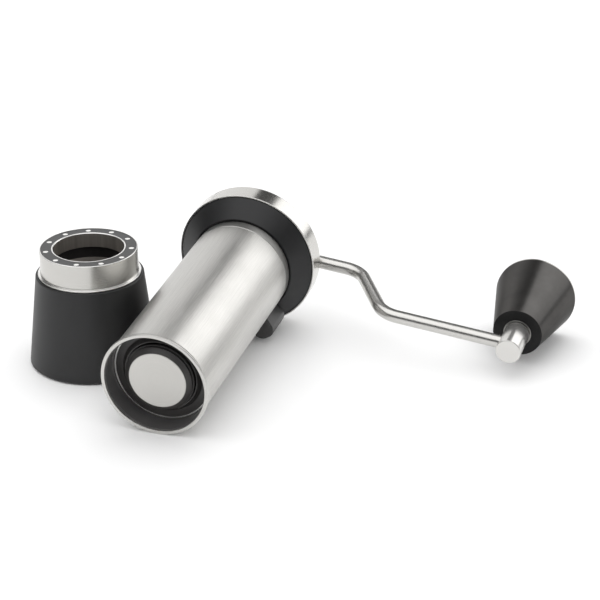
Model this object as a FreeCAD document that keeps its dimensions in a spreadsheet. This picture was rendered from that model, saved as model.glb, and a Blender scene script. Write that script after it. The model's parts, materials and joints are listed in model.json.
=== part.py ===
"""Hand crank coffee grinder, lying on its side, with its catch cup standing beside it.

The grinder's own pieces are drawn about a local Z axis: the open mouth is at height 0 and the lid is at the far
end. Three placements then set the groups down in the row's frame (+Z up, floor at 0): LYING for what stays with
the tube, CRANK for what turns with the crank arm, and CUP for the cup. All sizes are millimetres and degrees.
"""
import FreeCAD
import Part
import math
import os
import Sketcher
from FreeCAD import Placement, Rotation, Vector

# ---------------------------------------------------------------------------------------------------------
# Driving dimensions: alias, value
# ---------------------------------------------------------------------------------------------------------
SIZES = {
    # the tube and its mouth
    "tube_out": 28.0, "tube_bore": 27.2, "lip_out": 29.1, "lip_tall": 2.4, "lip_thick": 1.2,
    "lip_ease": 0.3, "seam_level": 126.2, "seam_ease": 0.25, "neck_top": 132.25,
    "neck_bore": 23.8, "neck_shelf": 130.2, "neck_foot": 121.0, "spigot_bore": 26.2,
    # the burr set inside the mouth
    "liner_bore": 26.75, "step_level": 12.5, "keeper_out": 26.5, "keeper_bore": 26.0, "keeper_face": 12.3,
    "keeper_back": 14.5, "carrier_lip": 19.1, "burr_out": 23.5, "burr_face": 13.0, "burr_back": 33.0, "carrier_back": 34.0,
    "burr_mouth": 18.75, "burr_middle": 15.9, "burr_middle_level": 20.0, "burr_throat": 14.4,
    "burr_throat_level": 27.0, "burr_entry": 17.0, "cone_base": 18.3, "cone_foot": 9.4, "cone_level": 13.0,
    "cone_tip": 8.5, "cone_top": 34.0, "throat_small": 17.5, "throat_big": 26.4, "throat_top": 52.0,
    "throat_edge": 50.0, "inner_teeth": 14, "outer_teeth": 20, "tooth_wide": 1.6, "tooth_deep": 1.1,
    "tooth_skew": 24.0,
    # the hub seen in the mouth
    "disc_out": 15.6, "disc_face": 4.75, "disc_back": 6.6, "disc_ease": 0.25, "hub_face": 4.95,
    "hub_edge": 15.9, "hub_side": 18.2, "hub_side_level": 6.8, "hub_groove": 17.6, "groove_front": 7.6,
    "groove_back": 8.2, "hub_flange": 18.8, "flange_ease": 0.4,
    # the drive shaft and what carries it
    "shaft_radius": 4.0, "shaft_foot": 6.6, "hex_flats": 6.9, "hex_foot": 142.0, "shaft_top": 155.5,
    "running_gap": 0.05, "breaker_boss": 6.5, "breaker_foot": 37.0, "breaker_top": 50.0, "breaker_reach": 13.5,
    "blade_thick": 2.2, "blade_tall": 11.0, "blade_skew": 35.0, "spider_foot": 54.0, "spider_top": 63.0, "spider_plate_foot": 56.0,
    "spider_plate": 5.0, "spider_ring": 25.0, "spider_boss": 8.0, "arm_wide": 5.0, "bush_out": 5.5,
    "clip_out": 5.2, "clip_foot": 131.6, "clip_thick": 1.2,
    # the adjusting gear under the lid
    "bridge_foot": 134.6, "bridge_thick": 3.9, "bridge_ring": 23.8, "bridge_boss": 11.0, "boss_foot": 131.9,
    "boss_top": 141.0, "sleeve_out": 7.95, "sleeve_bore": 4.6, "sleeve_foot": 133.0, "sleeve_top": 148.4,
    "race_out": 6.5, "race_out_bore": 5.6, "race_in": 4.9, "race_top": 138.0, "cage_out": 5.5, "cage_bore": 5.0,
    "cage_foot": 134.0, "cage_top": 137.0, "dial_bore": 8.0, "dial_out": 20.5, "dial_foot": 141.2,
    "dial_top": 146.6, "dial_skirt": 11.4, "dial_skirt_foot": 140.2, "dial_ease": 0.8, "dial_notches": 24,
    "notch_radius": 1.3, "screw_ring": 25.3, "screw_radius": 1.1, "screw_head": 1.9, "screw_foot": 130.6,
    "screw_head_top": 139.9, "socket_flats": 1.6, "socket_deep": 0.9,
    # the hopper collar and the thumb rest
    "collar_foot": 28.2, "collar_out": 38.2, "collar_wall": 36.4, "collar_top": 148.4, "collar_bend": 143.0,
    "rest_angle": 60.0, "rest_reach": 39.0, "rest_wide": 12.4, "rest_foot": 116.4, "rest_top": 136.0,
    "rest_round": 5.2, "rest_root": 24.0,
    # the lid and the crank
    "lid_out": 39.27, "lid_bore": 38.5, "lid_level": 141.4, "lid_tall": 12.0, "lid_skin": 1.6, "lid_ease": 0.7,
    "insert_out": 38.3, "insert_foot": 150.0, "hub_neck": 7.0, "hub_neck_foot": 148.8, "hub_out": 9.5,
    "hub_top": 161.9, "hub_ease": 0.8, "socket_width": 7.05, "socket_top": 156.0, "magnet_out": 3.2,
    "magnet_top": 158.0, "arm_level": 157.3, "arm_radius": 3.6, "arm_start": 4.6, "arm_bend_near": 61.9,
    "arm_bend_far": 86.0, "arm_drop": 37.6, "bend_round": 9.0, "arm_reach": 158.1, "grub_reach": 6.6,
    "grub_radius": 1.5, "pin_out": 6.85, "pin_face": 8.35, "pin_back": 12.2, "pin_ease": 0.5,
    "spindle_top": 168.3,
    # the knob
    "knob_small": 13.4, "knob_big": 22.4, "knob_start": 12.9, "knob_long": 43.6, "knob_ease": 0.4,
    "knob_round": 0.5, "knob_cavity": 9.0, "cavity_foot": 167.9, "cap_out": 22.2, "cap_thick": 1.2, "cap_ease": 0.4,
    "bush_flange": 7.6, "bush_flange_thick": 1.9, "bush_body": 6.0, "bush_start": 132.2, "bush_end": 168.1,
    "nut_out": 6.2, "nut_top": 171.4,
    # the cup
    "foot_out": 32.0, "foot_bore": 26.0, "foot_tall": 1.2, "cup_foot": 0.35, "cup_base": 34.8, "cup_base_ease": 1.3,
    "cup_shoulder": 29.2, "cup_tall": 51.2, "cup_mouth": 25.9, "cup_mouth_foot": 45.0, "cup_well": 30.4,
    "cup_floor_level": 3.0, "tray_thick": 0.8, "neck_lip": 27.9, "neck_lip_top": 52.3, "cup_neck": 26.45,
    "cup_height": 65.9, "cup_bore": 19.1, "cup_bore_foot": 57.6, "cup_under": 24.6, "ring_groove": 63.2,
    "ring_bore": 20.0, "ring_out": 25.85, "ring_face": 65.7, "neck_ease": 0.3, "magnets": 11,
    "magnet_pitch": 23.15, "magnet_radius": 1.45, "magnet_foot": 63.9, "magnet_face": 65.6,
    "first_magnet": 113.4,
    # how the groups stand
    "crank_turn": 7.026, "cup_across": -65.89, "cup_along": 74.7, "centre_across": 39.31, "centre_along": 88.91,
}

doc = FreeCAD.newDocument("grinder")
sheet = doc.addObject("Spreadsheet::Sheet", "Sizes")
for row, (alias, number) in enumerate(SIZES.items(), start=1):
    sheet.set(f"A{row}", alias)
    sheet.set(f"B{row}", str(number))
    sheet.setAlias(f"B{row}", alias)
doc.recompute()

nodes = []  # the finished pieces, in the order they are made


# ---------------------------------------------------------------------------------------------------------
# Small helpers
# ---------------------------------------------------------------------------------------------------------
def value(words):
    """The number that a sum of aliases stands for, such as "tube_out - lip_ease"."""
    total = 0.0
    sign = 1.0
    for word in words.split():
        if word in ("+", "-"):
            sign = 1.0 if word == "+" else -1.0
        else:
            total += sign * (SIZES[word] if word in SIZES else float(word))
            sign = 1.0
    return total


def bound(words):
    """The same sum, written for FreeCAD's expression engine."""
    return " ".join("Sizes." + word if word in SIZES else word for word in words.split())


def origin_part(body, role):
    """A plane or axis of the body's own origin."""
    return next(part for part in body.Origin.OriginFeatures if part.Role == role)


def at(across=0.0, along=0.0, up=0.0, turn=None):
    """A placement from plain numbers."""
    return Placement(Vector(across, along, up), turn or Rotation())


def keep(piece, name, place):
    """Name a finished piece, set it down and remember it."""
    piece.Label = name
    piece.Placement = place
    nodes.append(piece)
    return piece


def hold(sketch, geometry, point, words, direction):
    """Tie one coordinate of a sketch point to the sheet; a zero puts the point on the sketch's own axis."""
    if words == "0":
        axis = -2 if direction == "DistanceX" else -1
        sketch.addConstraint(Sketcher.Constraint("PointOnObject", geometry, point, axis))
        return
    index = sketch.addConstraint(Sketcher.Constraint(direction, -1, 1, geometry, point, value(words)))
    sketch.setExpression(f"Constraints[{index}]", bound(words))


def closed_outline(sketch, outline):
    """Straight edges through (radius, height) corners, each corner tied to the sheet."""
    corners = [Vector(value(radius), value(height), 0) for radius, height in outline]
    for here, there in zip(corners, corners[1:] + corners[:1]):
        sketch.addGeometry(Part.LineSegment(here, there), False)
    for index, (radius, height) in enumerate(outline):
        after = (index + 1) % len(outline)
        sketch.addConstraint(Sketcher.Constraint("Coincident", index, 2, after, 1))
        hold(sketch, index, 1, radius, "DistanceX")
        hold(sketch, index, 1, height, "DistanceY")


def new_sketch(body, name, plane):
    sketch = body.newObject("Sketcher::SketchObject", name)
    sketch.AttachmentSupport = [(origin_part(body, plane), "")]
    sketch.MapMode = "FlatFace"
    return sketch


def turned_blank(name, outline):
    """A PartDesign body: one outline turned about the body's Z axis."""
    body = doc.addObject("PartDesign::Body", name)
    sketch = new_sketch(body, name + "_outline", "XZ_Plane")
    closed_outline(sketch, outline)
    turn = body.newObject("PartDesign::Revolution", name + "_turn")
    turn.Profile = sketch
    turn.ReferenceAxis = (sketch, ["V_Axis"])
    turn.Angle = 360
    return body


def turned(name, place, outline):
    return keep(turned_blank(name, outline), name, place)


def ring(name, place, bore, out, foot, top):
    """A plain ring, or a disc when its bore is zero."""
    return turned(name, place, [(bore, foot), (out, foot), (out, top), (bore, top)])


def primitive(kind, name, place=None, **sizes):
    """A Part primitive whose sizes are tied to the sheet."""
    piece = doc.addObject("Part::" + kind, name)
    for size, words in sizes.items():
        piece.setExpression(size, bound(words))
    piece.Placement = place or Placement()
    return piece


def joined(name, pieces):
    whole = doc.addObject("Part::MultiFuse", name)
    whole.Shapes = pieces
    whole.Refine = True
    return whole


def less(name, base, tools):
    """The base with all the tools cut away."""
    rest = doc.addObject("Part::Cut", name)
    rest.Base = base
    rest.Tool = tools[0] if len(tools) == 1 else joined(name + "_tools", tools)
    return rest


def around(count, first=0.0):
    """Equal turns about Z."""
    return [Rotation(Vector(0, 0, 1), first + 360.0 * step / count) for step in range(int(count))]


def hexagon(name, flats, foot, top):
    """A hexagonal bar along Z, given across its flats."""
    bar = doc.addObject("Part::Prism", name)
    bar.Polygon = 6
    bar.setExpression("Circumradius", f"({bound(flats)}) / 2 / cos(30)")
    bar.setExpression("Height", bound(top) + " - (" + bound(foot) + ")")
    bar.setExpression("Placement.Base.z", bound(foot))
    return bar


# ---------------------------------------------------------------------------------------------------------
# Placements
# ---------------------------------------------------------------------------------------------------------
# The grinder rests on the rim of its mouth and the rim of its lid, so its axis climbs by this slope.
slope = math.degrees(math.atan(value("lid_out - lip_out") / value("lid_level")))
CENTRE = at(-value("centre_across"), -value("centre_along"))
lift = value("lip_out") * math.cos(math.radians(slope))
LYING = CENTRE.multiply(at(up=lift, turn=Rotation(Vector(1, 0, 0), slope - 90.0)))
CRANK = LYING.multiply(at(turn=Rotation(Vector(0, 0, 1), value("crank_turn"))))
KNOB = CRANK.multiply(at(across=value("arm_reach")))
CUP = CENTRE.multiply(at(value("cup_across"), value("cup_along")))


# ---------------------------------------------------------------------------------------------------------
# The tube, its mouth and its neck
# ---------------------------------------------------------------------------------------------------------
turned("body_tube", LYING, [
    ("tube_bore + lip_ease", "0"), ("lip_out - lip_ease", "0"), ("lip_out", "lip_ease"),
    ("lip_out", "lip_tall - lip_ease"), ("tube_out", "lip_tall"), ("tube_out", "seam_level - seam_ease"),
    ("tube_out - seam_ease", "seam_level"), ("tube_bore", "seam_level"), ("tube_bore", "lip_ease")])

neck = turned_blank("neck_ring_blank", [
    ("spigot_bore", "neck_foot"), ("tube_bore", "neck_foot"), ("tube_bore", "seam_level"),
    ("tube_out - seam_ease", "seam_level"), ("tube_out", "seam_level + seam_ease"), ("tube_out", "neck_top"),
    ("tube_bore", "neck_top"), ("tube_bore", "bridge_foot"), ("neck_bore", "bridge_foot"),
    ("neck_bore", "neck_shelf"), ("spigot_bore", "neck_shelf - spigot_bore + neck_bore")])


def screw_drills(name, radius, foot, top):
    """Three upright cylinders on the bridge's screw circle."""
    reach = value("screw_ring")
    return [primitive("Cylinder", f"{name}_{step}", at(turn=turn).multiply(at(across=reach, up=value(foot))),
                      Radius=radius, Height=f"{top} - {foot}") for step, turn in enumerate(around(3, 60.0), 1)]


keep(less("neck_ring", neck, screw_drills("neck_drill", "screw_radius", "screw_foot", "bridge_foot")),
     "neck_ring", LYING)

ring("mouth_liner", LYING, "liner_bore", "tube_bore", "lip_thick", "step_level")


# ---------------------------------------------------------------------------------------------------------
# The burr set
# ---------------------------------------------------------------------------------------------------------
turned("burr_carrier", LYING, [
    ("carrier_lip", "step_level"), ("keeper_bore", "step_level"), ("keeper_bore", "keeper_back"),
    ("keeper_out", "keeper_back"), ("keeper_out", "step_level"), ("tube_bore", "step_level"),
    ("tube_bore", "carrier_back"), ("throat_small", "carrier_back"), ("throat_small", "burr_back"),
    ("burr_out", "burr_back"), ("burr_out", "burr_face"), ("carrier_lip", "burr_face")])
ring("keeper_ring", LYING, "keeper_bore", "keeper_out", "keeper_face", "keeper_back")
turned("throat_cone", LYING, [
    ("throat_small", "carrier_back"), ("tube_bore", "carrier_back"), ("tube_bore", "throat_top"),
    ("throat_big", "throat_top"), ("throat_big", "throat_edge")])


def flutes(name, count, foot_radius, foot_level, top_radius, top_level):
    """Skewed bars laid along a cone, to cut the slots between a burr's teeth."""
    run = math.hypot(top_radius - foot_radius, top_level - foot_level)
    lean = math.degrees(math.atan2(top_radius - foot_radius, top_level - foot_level))
    middle = at(across=(foot_radius + top_radius) / 2, up=(foot_level + top_level) / 2,
                turn=Rotation(Vector(0, 1, 0), lean))
    skew = at(turn=Rotation(Vector(1, 0, 0), value("tooth_skew")))
    centred = at(-value("tooth_deep"), -value("tooth_wide") / 2, -0.7 * run)
    bars = []
    for step, turn in enumerate(around(count), 1):
        bar = primitive("Box", f"{name}_{step}", at(turn=turn).multiply(middle).multiply(skew).multiply(centred),
                        Width="tooth_wide", Length="tooth_deep + tooth_deep")
        bar.Height = 1.4 * run
        bars.append(bar)
    return bars


cone = turned_blank("inner_burr_blank", [
    ("shaft_radius", "cone_foot"), ("cone_base", "cone_foot"), ("cone_base", "cone_level"),
    ("cone_tip", "cone_top"), ("shaft_radius", "cone_top")])
cone_bars = flutes("inner_flute", SIZES["inner_teeth"], SIZES["cone_base"], SIZES["cone_level"],
                   SIZES["cone_tip"], SIZES["cone_top"])
keep(less("inner_burr", cone, cone_bars), "inner_burr", CRANK)

mill = turned_blank("outer_burr_blank", [
    ("burr_mouth", "burr_face"), ("burr_out", "burr_face"), ("burr_out", "burr_back"), ("burr_entry", "burr_back"),
    ("burr_throat", "burr_throat_level"), ("burr_middle", "burr_middle_level")])
mill_bars = flutes("outer_flute", SIZES["outer_teeth"], SIZES["burr_mouth"], SIZES["burr_face"],
                   SIZES["burr_throat"], SIZES["burr_throat_level"])
keep(less("outer_burr", mill, mill_bars), "outer_burr", LYING)

turned("burr_flange", CRANK, [
    ("shaft_radius", "disc_back"), ("disc_out", "disc_back"), ("disc_out", "hub_face"), ("hub_edge", "hub_face"),
    ("hub_side", "hub_side_level"), ("hub_side", "groove_front"), ("hub_groove", "groove_front"),
    ("hub_groove", "groove_back"), ("hub_flange - flange_ease", "groove_back"),
    ("hub_flange", "groove_back + flange_ease"), ("hub_flange", "cone_foot"), ("shaft_radius", "cone_foot")])
turned("burr_disc", CRANK, [
    ("0", "disc_face"), ("disc_out - disc_ease", "disc_face"), ("disc_out", "disc_face + disc_ease"),
    ("disc_out", "disc_back"), ("0", "disc_back")])


# ---------------------------------------------------------------------------------------------------------
# The drive shaft and its bearings
# ---------------------------------------------------------------------------------------------------------
def spider(name, foot, thick, rim, boss, boss_foot, boss_top, bore, first):
    """A rim, three arms and a boss with a bore through it."""
    rim_ring = turned_blank(name + "_rim", [
        (rim, foot), ("tube_bore", foot), ("tube_bore", f"{foot} + {thick}"), (rim, f"{foot} + {thick}")])
    boss_ring = turned_blank(name + "_boss", [("0", boss_foot), (boss, boss_foot), (boss, boss_top), ("0", boss_top)])
    arms = []
    for step, turn in enumerate(around(3, first), 1):
        place = at(turn=turn).multiply(at(0, -value("arm_wide") / 2, value(foot)))
        arms.append(primitive("Box", f"{name}_arm_{step}", place, Width="arm_wide", Height=thick,
                              Length=f"{rim} + running_gap"))
    drill = primitive("Cylinder", name + "_drill", at(up=value(boss_foot)), Radius=bore,
                      Height=f"{boss_top} - {boss_foot}")
    return less(name, joined(name + "_blank", [rim_ring, boss_ring] + arms), [drill])


keep(spider("lower_spider", "spider_plate_foot", "spider_plate", "spider_ring", "spider_boss", "spider_foot",
            "spider_top", "bush_out", 0.0), "lower_spider", LYING)
ring("lower_bush", LYING, "shaft_radius + running_gap", "bush_out", "spider_foot", "spider_top")

round_bar = primitive("Cylinder", "shaft_round", at(up=value("shaft_foot")), Radius="shaft_radius",
                      Height="hex_foot - shaft_foot")
keep(joined("drive_shaft", [round_bar, hexagon("shaft_hex", "hex_flats", "hex_foot", "shaft_top")]),
     "drive_shaft", CRANK)
ring("shaft_clip", CRANK, "shaft_radius", "clip_out", "clip_foot", "clip_foot + clip_thick")
ring("bearing_inner", CRANK, "shaft_radius", "race_in", "sleeve_foot", "race_top")
ring("bearing_cage", CRANK, "cage_bore", "cage_out", "cage_foot", "cage_top")
ring("bearing_outer", LYING, "race_out_bore", "race_out", "sleeve_foot", "race_top")

boss = turned_blank("breaker_boss_blank", [
    ("shaft_radius", "breaker_foot"), ("breaker_boss", "breaker_foot"), ("breaker_boss", "breaker_top"),
    ("shaft_radius", "breaker_top")])
blades = []
for step, turn in enumerate(around(3), 1):
    stand = at(across=value("shaft_radius + running_gap"), up=value("breaker_foot + breaker_top") / 2,
               turn=Rotation(Vector(1, 0, 0), value("blade_skew")))
    centred = at(0, -value("blade_thick") / 2, -value("blade_tall") / 2)
    blades.append(primitive("Box", f"breaker_blade_{step}", at(turn=turn).multiply(stand).multiply(centred),
                            Length="breaker_reach - shaft_radius", Width="blade_thick", Height="blade_tall"))
shaft_clear = primitive("Cylinder", "breaker_bore", at(up=value("breaker_foot")), Radius="shaft_radius",
                        Height="breaker_top - breaker_foot")
keep(less("bean_breaker", joined("breaker_blank", [boss] + blades), [shaft_clear]), "bean_breaker", CRANK)


# ---------------------------------------------------------------------------------------------------------
# The adjusting gear under the lid
# ---------------------------------------------------------------------------------------------------------
bridge = spider("bridge_blank_whole", "bridge_foot", "bridge_thick", "bridge_ring", "bridge_boss", "boss_foot",
                "boss_top", "dial_bore", 60.0)
keep(less("top_bridge", bridge, screw_drills("bridge_drill", "screw_radius", "bridge_foot",
                                             "bridge_foot + bridge_thick")), "top_bridge", LYING)

screw = turned_blank("screw_blank", [
    ("0", "screw_foot"), ("screw_radius", "screw_foot"), ("screw_radius", "bridge_foot + bridge_thick"),
    ("screw_head", "bridge_foot + bridge_thick"), ("screw_head", "screw_head_top"), ("0", "screw_head_top")])
screw_shape = less("screw_cut", screw, [hexagon("screw_socket", "socket_flats", "screw_head_top - socket_deep",
                                                "screw_head_top")])
for step, turn in enumerate(around(3, 60.0), 1):
    copy = doc.addObject("Part::MultiCommon", f"bridge_screw_{step}")
    copy.Shapes = [screw_shape, screw]
    keep(copy, f"bridge_screw_{step}", LYING.multiply(at(turn=turn)).multiply(at(across=value("screw_ring"))))

turned("lift_sleeve", LYING, [
    ("sleeve_bore", "race_top"), ("race_out", "race_top"), ("race_out", "sleeve_foot"),
    ("sleeve_out", "sleeve_foot"), ("sleeve_out", "sleeve_top"), ("sleeve_bore", "sleeve_top")])

dial = turned_blank("dial_blank", [
    ("dial_bore", "dial_foot"), ("dial_skirt", "dial_foot"), ("dial_skirt", "dial_skirt_foot"),
    ("dial_out", "dial_skirt_foot"), ("dial_out", "dial_top - dial_ease"), ("dial_out - dial_ease", "dial_top"),
    ("dial_bore", "dial_top")])
notches = [primitive("Cylinder", f"dial_notch_{step}",
                     at(turn=turn).multiply(at(across=value("dial_out"), up=value("dial_skirt_foot"))),
                     Radius="notch_radius", Height="dial_top - dial_skirt_foot")
           for step, turn in enumerate(around(SIZES["dial_notches"]), 1)]
keep(less("adjust_dial", dial, notches), "adjust_dial", LYING)


# ---------------------------------------------------------------------------------------------------------
# The hopper collar and the thumb rest
# ---------------------------------------------------------------------------------------------------------
turned("hopper_collar", LYING, [
    ("tube_bore", "neck_top"), ("collar_foot", "neck_top"), ("collar_out", "lid_level"),
    ("collar_out", "collar_top"), ("collar_wall", "collar_top"), ("collar_wall", "collar_bend"),
    ("tube_bore", "bridge_foot")])

# A bar with a half-round outer side, standing off the tube and running back into the collar's flare.
rest_turn = at(turn=Rotation(Vector(0, 0, 1), value("rest_angle")))
rest_bar = primitive("Box", "rest_bar", rest_turn.multiply(at(value("rest_root"), -value("rest_wide") / 2,
                                                              value("rest_foot"))),
                     Length="rest_reach - rest_root - rest_wide + rest_round", Width="rest_wide",
                     Height="rest_top - rest_foot")
rest_reach = value("rest_reach - rest_round")
rest_sides = []
for step, side in enumerate((-1, 1), 1):
    offset = side * (value("rest_wide") / 2 - value("rest_round"))
    rest_sides.append(primitive("Cylinder", f"rest_round_{step}",
                                rest_turn.multiply(at(rest_reach, offset, value("rest_foot"))),
                                Radius="rest_round", Height="rest_top - rest_foot"))
rest_core = primitive("Box", "rest_core", rest_turn.multiply(
    at(value("rest_root"), -(value("rest_wide") / 2 - value("rest_round")), value("rest_foot"))),
    Length="rest_reach - rest_root", Width="rest_wide - rest_round - rest_round", Height="rest_top - rest_foot")
rest_clear = turned_blank("rest_clear", [
    ("0", "rest_foot"), ("tube_out", "rest_foot"), ("tube_out", "neck_top"), ("collar_foot", "neck_top"),
    ("collar_out", "lid_level"), ("0", "lid_level")])
rest_whole = joined("rest_whole", [rest_bar, rest_core] + rest_sides)
keep(less("thumb_rest", rest_whole, [rest_clear]), "thumb_rest", LYING)


# ---------------------------------------------------------------------------------------------------------
# The lid and the crank
# ---------------------------------------------------------------------------------------------------------
turned("lid_cap", CRANK, [
    ("hub_neck", "lid_level + lid_tall - lid_skin"), ("lid_bore", "lid_level + lid_tall - lid_skin"),
    ("lid_bore", "lid_level"), ("lid_out", "lid_level"), ("lid_out", "lid_level + lid_tall - lid_ease"),
    ("lid_out - lid_ease", "lid_level + lid_tall"), ("hub_neck", "lid_level + lid_tall")])
ring("lid_insert", CRANK, "hub_neck", "insert_out", "insert_foot", "lid_level + lid_tall - lid_skin")

hub = turned_blank("crank_hub_blank", [
    ("0", "hub_neck_foot"), ("hub_neck", "hub_neck_foot"), ("hub_neck", "lid_level + lid_tall"),
    ("hub_out", "lid_level + lid_tall"), ("hub_out", "hub_top - hub_ease"), ("hub_out - hub_ease", "hub_top"),
    ("0", "hub_top")])
arm_hole = primitive("Cylinder", "arm_hole", at(value("arm_start"), 0, value("arm_level"),
                                                Rotation(Vector(0, 1, 0), 90)),
                     Radius="arm_radius", Height="hub_out")
grub_hole = primitive("Cylinder", "grub_hole", at(value("grub_reach"), 0, value("arm_level")),
                      Radius="grub_radius", Height="hub_top - arm_level")
magnet_hole = primitive("Cylinder", "magnet_hole", at(up=value("socket_top")), Radius="magnet_out",
                        Height="magnet_top - socket_top")
keep(less("crank_hub", hub, [hexagon("hub_socket", "socket_width", "hub_neck_foot", "socket_top"), arm_hole,
                             grub_hole, magnet_hole]), "crank_hub", CRANK)
ring("hub_magnet", CRANK, "0", "magnet_out", "socket_top", "magnet_top")

grub = primitive("Cylinder", "grub_bar", at(up=value("arm_level + arm_radius")), Radius="grub_radius",
                 Height="hub_top - arm_level - arm_radius")
keep(less("arm_grub", grub, [hexagon("grub_socket", "socket_flats", "hub_top - socket_deep + lid_ease",
                                     "hub_top")]),
     "arm_grub", CRANK.multiply(at(across=value("grub_reach"))))


def bent_arm():
    """A round rod swept along two straight levels and the slope between them, with rounded bends."""
    body = doc.addObject("PartDesign::Body", "arm_body")
    path = new_sketch(body, "arm_path", "XZ_Plane")
    start, near, far, reach = (value(word) for word in ("arm_start", "arm_bend_near", "arm_bend_far", "arm_reach"))
    high = value("arm_level")
    low = value("arm_level - arm_drop")
    radius = value("bend_round")
    turn = math.atan2(high - low, far - near)
    cut = radius * math.tan(turn / 2)
    step_across = cut * math.cos(turn)
    step_down = cut * math.sin(turn)
    near_centre = Vector(near - cut, high - radius, 0)
    far_centre = Vector(far + cut, low + radius, 0)
    first = Part.LineSegment(Vector(start, high, 0), Vector(near - cut, high, 0))
    slope_line = Part.LineSegment(Vector(near + step_across, high - step_down, 0),
                                  Vector(far - step_across, low + step_down, 0))
    last = Part.LineSegment(Vector(far + cut, low, 0), Vector(reach, low, 0))
    near_arc = Part.ArcOfCircle(Part.Circle(near_centre, Vector(0, 0, 1), radius), math.pi / 2 - turn, math.pi / 2)
    far_arc = Part.ArcOfCircle(Part.Circle(far_centre, Vector(0, 0, 1), radius), 1.5 * math.pi - turn, 1.5 * math.pi)
    path.addGeometry([first, near_arc, slope_line, far_arc, last], False)
    path.addConstraint([
        Sketcher.Constraint("Tangent", 0, 2, 1, 2), Sketcher.Constraint("Tangent", 1, 1, 2, 1),
        Sketcher.Constraint("Tangent", 2, 2, 3, 1), Sketcher.Constraint("Tangent", 3, 2, 4, 1),
        Sketcher.Constraint("Horizontal", 0), Sketcher.Constraint("Horizontal", 4),
        Sketcher.Constraint("Equal", 1, 3)])
    hold(path, 0, 1, "arm_start", "DistanceX")
    hold(path, 0, 1, "arm_level", "DistanceY")
    hold(path, 4, 2, "arm_reach", "DistanceX")
    hold(path, 4, 2, "arm_level - arm_drop", "DistanceY")
    round_index = path.addConstraint(Sketcher.Constraint("Radius", 1, radius))
    path.setExpression(f"Constraints[{round_index}]", "Sizes.bend_round")
    half_turn = "tan(atan2(Sizes.arm_drop; Sizes.arm_bend_far - Sizes.arm_bend_near) / 2)"
    near_index = path.addConstraint(Sketcher.Constraint("DistanceX", -1, 1, 0, 2, near - cut))
    path.setExpression(f"Constraints[{near_index}]", f"Sizes.arm_bend_near - Sizes.bend_round * {half_turn}")
    far_index = path.addConstraint(Sketcher.Constraint("DistanceX", -1, 1, 4, 1, far + cut))
    path.setExpression(f"Constraints[{far_index}]", f"Sizes.arm_bend_far + Sizes.bend_round * {half_turn}")

    section = new_sketch(body, "arm_section", "YZ_Plane")
    section.setExpression("AttachmentOffset.Base.z", "Sizes.arm_start")
    section.addGeometry(Part.Circle(Vector(0, high, 0), Vector(0, 0, 1), value("arm_radius")), False)
    section.addConstraint(Sketcher.Constraint("PointOnObject", 0, 3, -2))
    hold(section, 0, 3, "arm_level", "DistanceY")
    size_index = section.addConstraint(Sketcher.Constraint("Radius", 0, value("arm_radius")))
    section.setExpression(f"Constraints[{size_index}]", "Sizes.arm_radius")
    doc.recompute()

    sweep = body.newObject("PartDesign::AdditivePipe", "arm_sweep")
    sweep.Profile = section
    sweep.Spine = (path, ["Edge1", "Edge2", "Edge3", "Edge4", "Edge5"])
    doc.recompute()
    return body


# The pin stands across the arm's outer end; the arm is trimmed to it, and the knob turns on its thin end.
pin_blank = primitive("Cylinder", "pin_clear", at(value("arm_reach"), 0, value("arm_level - arm_drop - pin_face")),
                      Radius="pin_out", Height="pin_face + pin_back")
keep(less("crank_arm", bent_arm(), [pin_blank]), "crank_arm", CRANK)
turned("cross_pin", KNOB, [
    ("0", "arm_level - arm_drop - pin_face"), ("pin_out - pin_ease", "arm_level - arm_drop - pin_face"),
    ("pin_out", "arm_level - arm_drop - pin_face + pin_ease"), ("pin_out", "arm_level - arm_drop + pin_back"),
    ("shaft_radius", "arm_level - arm_drop + pin_back"), ("shaft_radius", "spindle_top"), ("0", "spindle_top")])
ring("knob_nut", KNOB, "0", "nut_out", "spindle_top", "nut_top")


# ---------------------------------------------------------------------------------------------------------
# The knob
# ---------------------------------------------------------------------------------------------------------
KNOB_FOOT = "arm_level - arm_drop + knob_start"
turned("knob_grip", KNOB, [
    ("bush_flange", KNOB_FOOT), ("knob_small - knob_ease", KNOB_FOOT), ("knob_small", KNOB_FOOT + " + knob_ease"),
    ("knob_big", KNOB_FOOT + " + knob_long - knob_round"), ("knob_big - knob_round", KNOB_FOOT + " + knob_long"),
    ("knob_cavity", KNOB_FOOT + " + knob_long"), ("knob_cavity", "cavity_foot"), ("bush_body", "cavity_foot"),
    ("bush_body", "bush_start + bush_flange_thick"), ("bush_flange", "bush_start + bush_flange_thick")])
turned("knob_bush", KNOB, [
    ("shaft_radius + running_gap", "bush_start"), ("bush_flange", "bush_start"),
    ("bush_flange", "bush_start + bush_flange_thick"), ("bush_body", "bush_start + bush_flange_thick"),
    ("bush_body", "bush_end"), ("shaft_radius + running_gap", "bush_end")])
turned("knob_cap", KNOB, [
    ("0", KNOB_FOOT + " + knob_long"), ("cap_out", KNOB_FOOT + " + knob_long"),
    ("cap_out", KNOB_FOOT + " + knob_long + cap_thick - cap_ease"),
    ("cap_out - cap_ease", KNOB_FOOT + " + knob_long + cap_thick"), ("0", KNOB_FOOT + " + knob_long + cap_thick")])


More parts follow.
